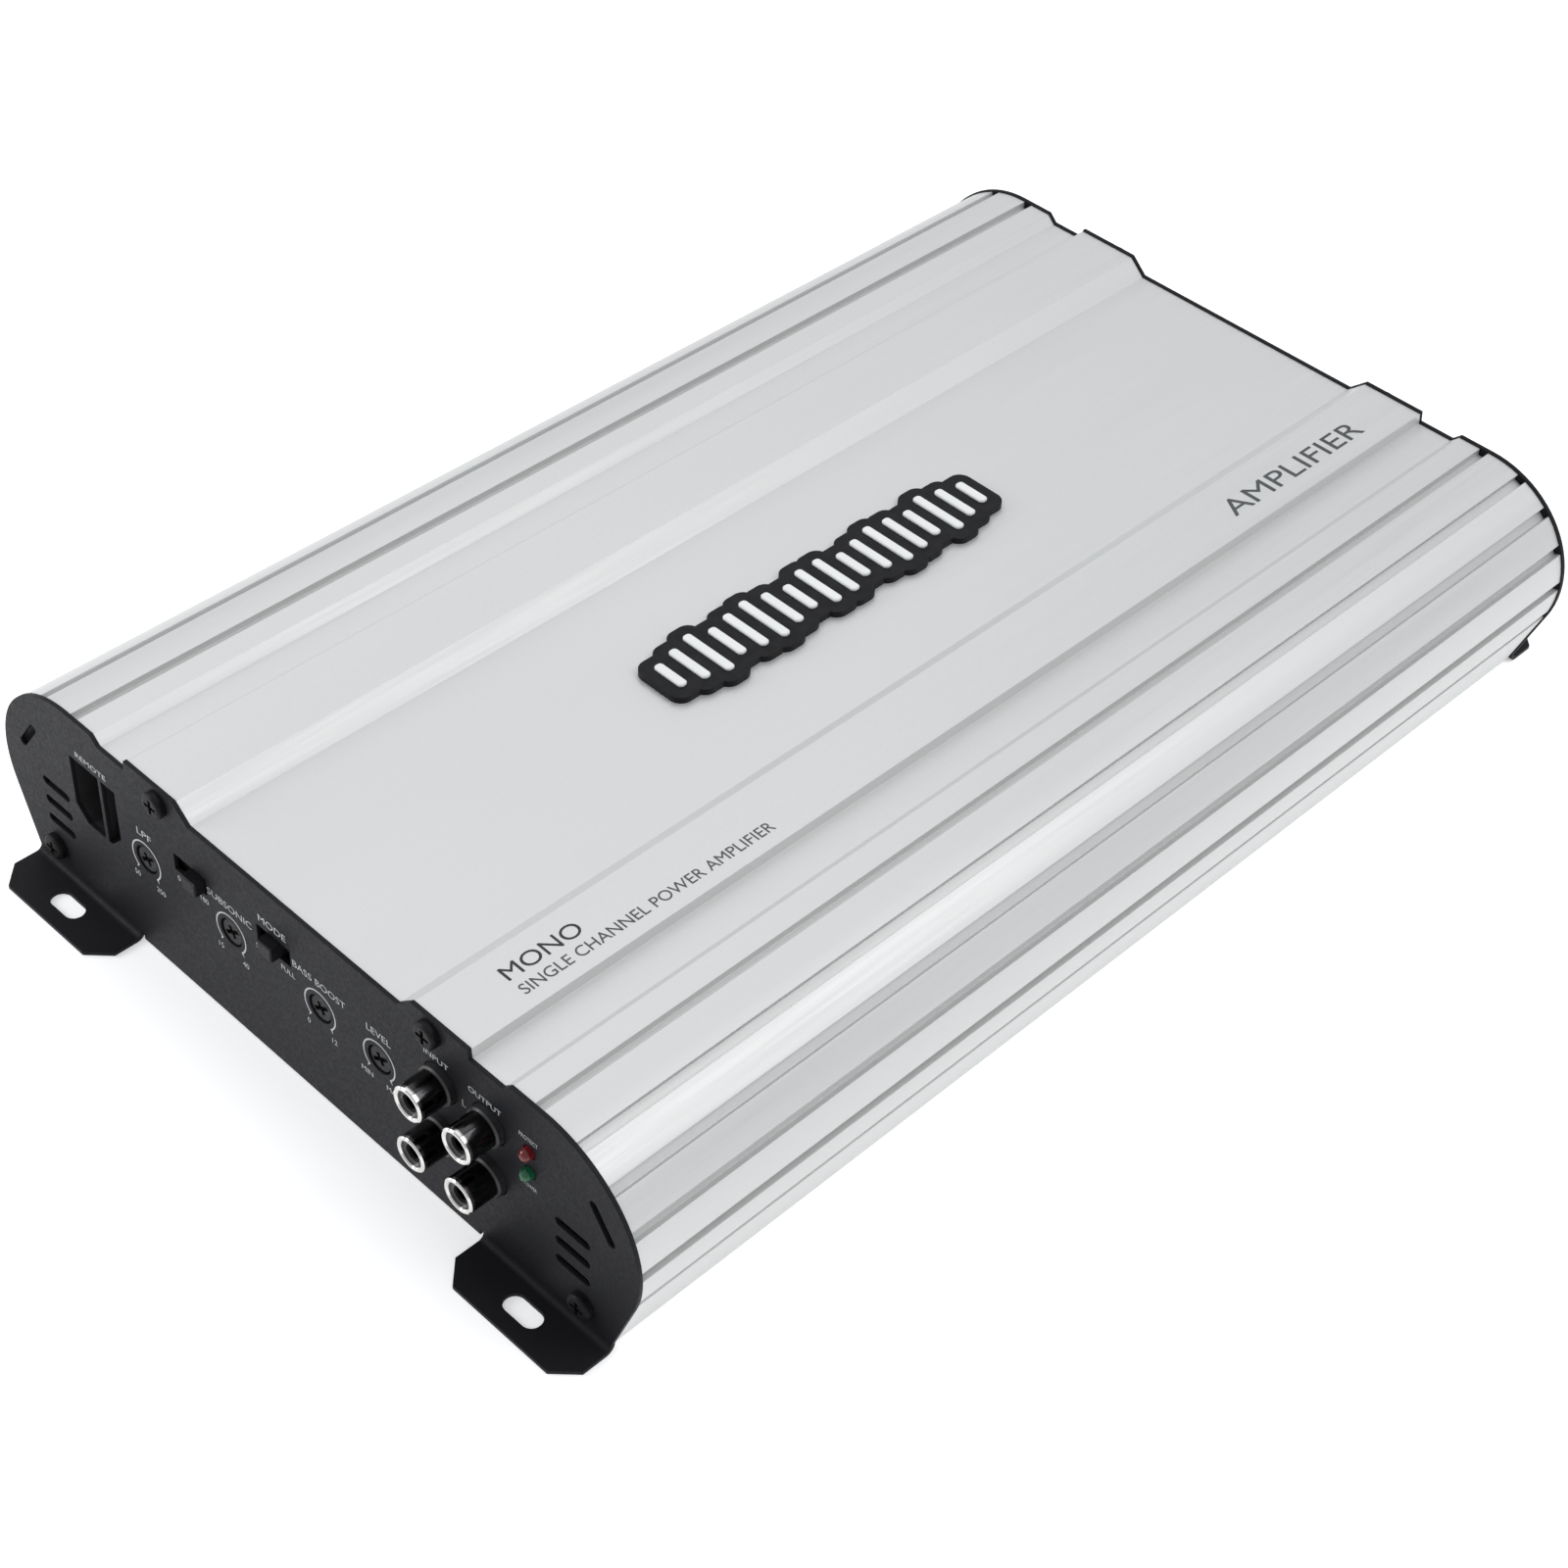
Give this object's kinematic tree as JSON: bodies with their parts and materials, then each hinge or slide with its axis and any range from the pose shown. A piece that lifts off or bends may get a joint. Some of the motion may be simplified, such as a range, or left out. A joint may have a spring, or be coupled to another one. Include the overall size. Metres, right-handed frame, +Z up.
{
  "type": "car amplifier",
  "caption": "Single-channel car audio amplifier: a long finned aluminium hood between two bent black end panels with slotted feet, with level controls and phono jacks at the front.",
  "frame": {"origin": "on the mounting surface, midway between the four feet", "axes": "+X along the control panel, left to right as one faces it; +Y along the hood away from the control panel; +Z up"},
  "size_m": [0.2066, 0.335, 0.0556],
  "materials": {
    "hood_aluminium": "satin, clear anodised extrusion",
    "cover_steel": "zinc-plated sheet",
    "panel_black": "fine-texture black powder coat",
    "screw_black": "black oxide",
    "badge_black": "gloss",
    "badge_light": "satin",
    "board_green": "solder-masked board",
    "plated_steel": "nickel plated",
    "black_plastic": "moulded",
    "knob_plastic": "moulded",
    "lever_plastic": "moulded",
    "nickel": "bright nickel",
    "lens_green": "clear tinted epoxy",
    "lens_red": "clear tinted epoxy",
    "brass_contact": "tinned brass",
    "ferrite": "ferrite, stands at cast iron's density",
    "copper_wire": "enamelled copper",
    "sleeve_plastic": "shrink sleeve",
    "pad_rubber": "thermal pad",
    "terminal_plastic": "moulded",
    "fuse_plastic": "tinted"
  },
  "bodies": {
    "chassis": {"heatsink_shell": "hood_aluminium", "bottom_cover": "cover_steel", "bottom_cover_screws": "screw_black", "front_panel": "panel_black", "rear_panel": "panel_black", "front_feet": "panel_black", "rear_feet": "panel_black", "front_panel_screws": "screw_black", "rear_panel_screws": "screw_black", "badge_plate": "badge_black", "badge_inlay": "badge_light", "main_board": "board_green", "board_standoffs": "plated_steel", "inner_screws": "plated_steel", "control_board": "board_green", "rca_housing": "black_plastic", "rca_collars": "black_plastic", "rca_shells": "nickel", "rca_insulators": "black_plastic", "rca_contacts": "nickel", "potentiometer_bodies": "black_plastic", "switch_bodies": "black_plastic", "led_power": "lens_green", "led_protect": "lens_red", "remote_socket": "black_plastic", "remote_contacts": "brass_contact", "transformer_cores": "ferrite", "transformer_windings": "copper_wire", "inductor_core": "ferrite", "inductor_winding": "copper_wire", "capacitors": "sleeve_plastic", "power_transistors": "black_plastic", "thermal_pads": "pad_rubber", "clamp_bars": "plated_steel", "power_terminal_block": "terminal_plastic", "speaker_terminal_block": "terminal_plastic", "terminal_seats": "plated_steel", "fuse_holder": "terminal_plastic"},
    "knob_crossover": {"knob_crossover": "knob_plastic"},
    "knob_subsonic": {"knob_subsonic": "knob_plastic"},
    "knob_boost": {"knob_boost": "knob_plastic"},
    "knob_level": {"knob_level": "knob_plastic"},
    "lever_phase": {"lever_phase": "lever_plastic"},
    "lever_mode": {"lever_mode": "lever_plastic"},
    "fuse_1": {"fuse_1_body": "fuse_plastic", "fuse_1_blades": "brass_contact"},
    "fuse_2": {"fuse_2_body": "fuse_plastic", "fuse_2_blades": "brass_contact"},
    "fuse_3": {"fuse_3_body": "fuse_plastic", "fuse_3_blades": "brass_contact"},
    "washer_ground": {"washer_ground": "plated_steel"},
    "screw_ground": {"screw_ground": "plated_steel"},
    "washer_remote": {"washer_remote": "plated_steel"},
    "screw_remote": {"screw_remote": "plated_steel"},
    "washer_battery": {"washer_battery": "plated_steel"},
    "screw_battery": {"screw_battery": "plated_steel"},
    "washer_speaker_minus": {"washer_speaker_minus": "plated_steel"},
    "screw_speaker_minus": {"screw_speaker_minus": "plated_steel"},
    "washer_speaker_plus": {"washer_speaker_plus": "plated_steel"},
    "screw_speaker_plus": {"screw_speaker_plus": "plated_steel"}
  },
  "joints": [
    {"name": "knob_crossover_turn", "type": "hinge", "parent": "chassis", "child": "knob_crossover", "pos_m": [-0.0511, -0.1525, 0.0295], "axis": [0, 1, 0], "range_deg": [-140, 140]},
    {"name": "knob_subsonic_turn", "type": "hinge", "parent": "chassis", "child": "knob_subsonic", "pos_m": [-0.0216, -0.1525, 0.0295], "axis": [0, 1, 0], "range_deg": [-140, 140]},
    {"name": "knob_boost_turn", "type": "hinge", "parent": "chassis", "child": "knob_boost", "pos_m": [0.0079, -0.1525, 0.0295], "axis": [0, 1, 0], "range_deg": [-140, 140]},
    {"name": "knob_level_turn", "type": "hinge", "parent": "chassis", "child": "knob_level", "pos_m": [0.0268, -0.1525, 0.0295], "axis": [0, 1, 0], "range_deg": [-140, 140]},
    {"name": "lever_phase_slide", "type": "slide", "parent": "chassis", "child": "lever_phase", "axis": [1, 0, 0], "range_m": [-0.0052, 0]},
    {"name": "lever_mode_slide", "type": "slide", "parent": "chassis", "child": "lever_mode", "axis": [1, 0, 0], "range_m": [-0.0026, 0.0026]},
    {"name": "fuse_1_pull", "type": "slide", "parent": "chassis", "child": "fuse_1", "axis": [0, 1, 0], "range_m": [0, 0.012]},
    {"name": "fuse_2_pull", "type": "slide", "parent": "chassis", "child": "fuse_2", "axis": [0, 1, 0], "range_m": [0, 0.012]},
    {"name": "fuse_3_pull", "type": "slide", "parent": "chassis", "child": "fuse_3", "axis": [0, 1, 0], "range_m": [0, 0.012]},
    {"name": "washer_ground_travel", "type": "slide", "parent": "chassis", "child": "washer_ground", "axis": [0, 1, 0], "range_m": [0, 0.0036]},
    {"name": "screw_ground_turn", "type": "hinge", "parent": "washer_ground", "child": "screw_ground", "pos_m": [-0.02, 0.162, 0.0245], "axis": [0, 1, 0], "range_deg": [0, 1800]},
    {"name": "washer_remote_travel", "type": "slide", "parent": "chassis", "child": "washer_remote", "axis": [0, 1, 0], "range_m": [0, 0.0036]},
    {"name": "screw_remote_turn", "type": "hinge", "parent": "washer_remote", "child": "screw_remote", "pos_m": [-0.003, 0.162, 0.0245], "axis": [0, 1, 0], "range_deg": [0, 1800]},
    {"name": "washer_battery_travel", "type": "slide", "parent": "chassis", "child": "washer_battery", "axis": [0, 1, 0], "range_m": [0, 0.0036]},
    {"name": "screw_battery_turn", "type": "hinge", "parent": "washer_battery", "child": "screw_battery", "pos_m": [0.014, 0.162, 0.0245], "axis": [0, 1, 0], "range_deg": [0, 1800]},
    {"name": "washer_speaker_minus_travel", "type": "slide", "parent": "chassis", "child": "washer_speaker_minus", "axis": [0, 1, 0], "range_m": [0, 0.0036]},
    {"name": "screw_speaker_minus_turn", "type": "hinge", "parent": "washer_speaker_minus", "child": "screw_speaker_minus", "pos_m": [0.044, 0.162, 0.0245], "axis": [0, 1, 0], "range_deg": [0, 1800]},
    {"name": "washer_speaker_plus_travel", "type": "slide", "parent": "chassis", "child": "washer_speaker_plus", "axis": [0, 1, 0], "range_m": [0, 0.0036]},
    {"name": "screw_speaker_plus_turn", "type": "hinge", "parent": "washer_speaker_plus", "child": "screw_speaker_plus", "pos_m": [0.061, 0.162, 0.0245], "axis": [0, 1, 0], "range_deg": [0, 1800]}
  ]
}
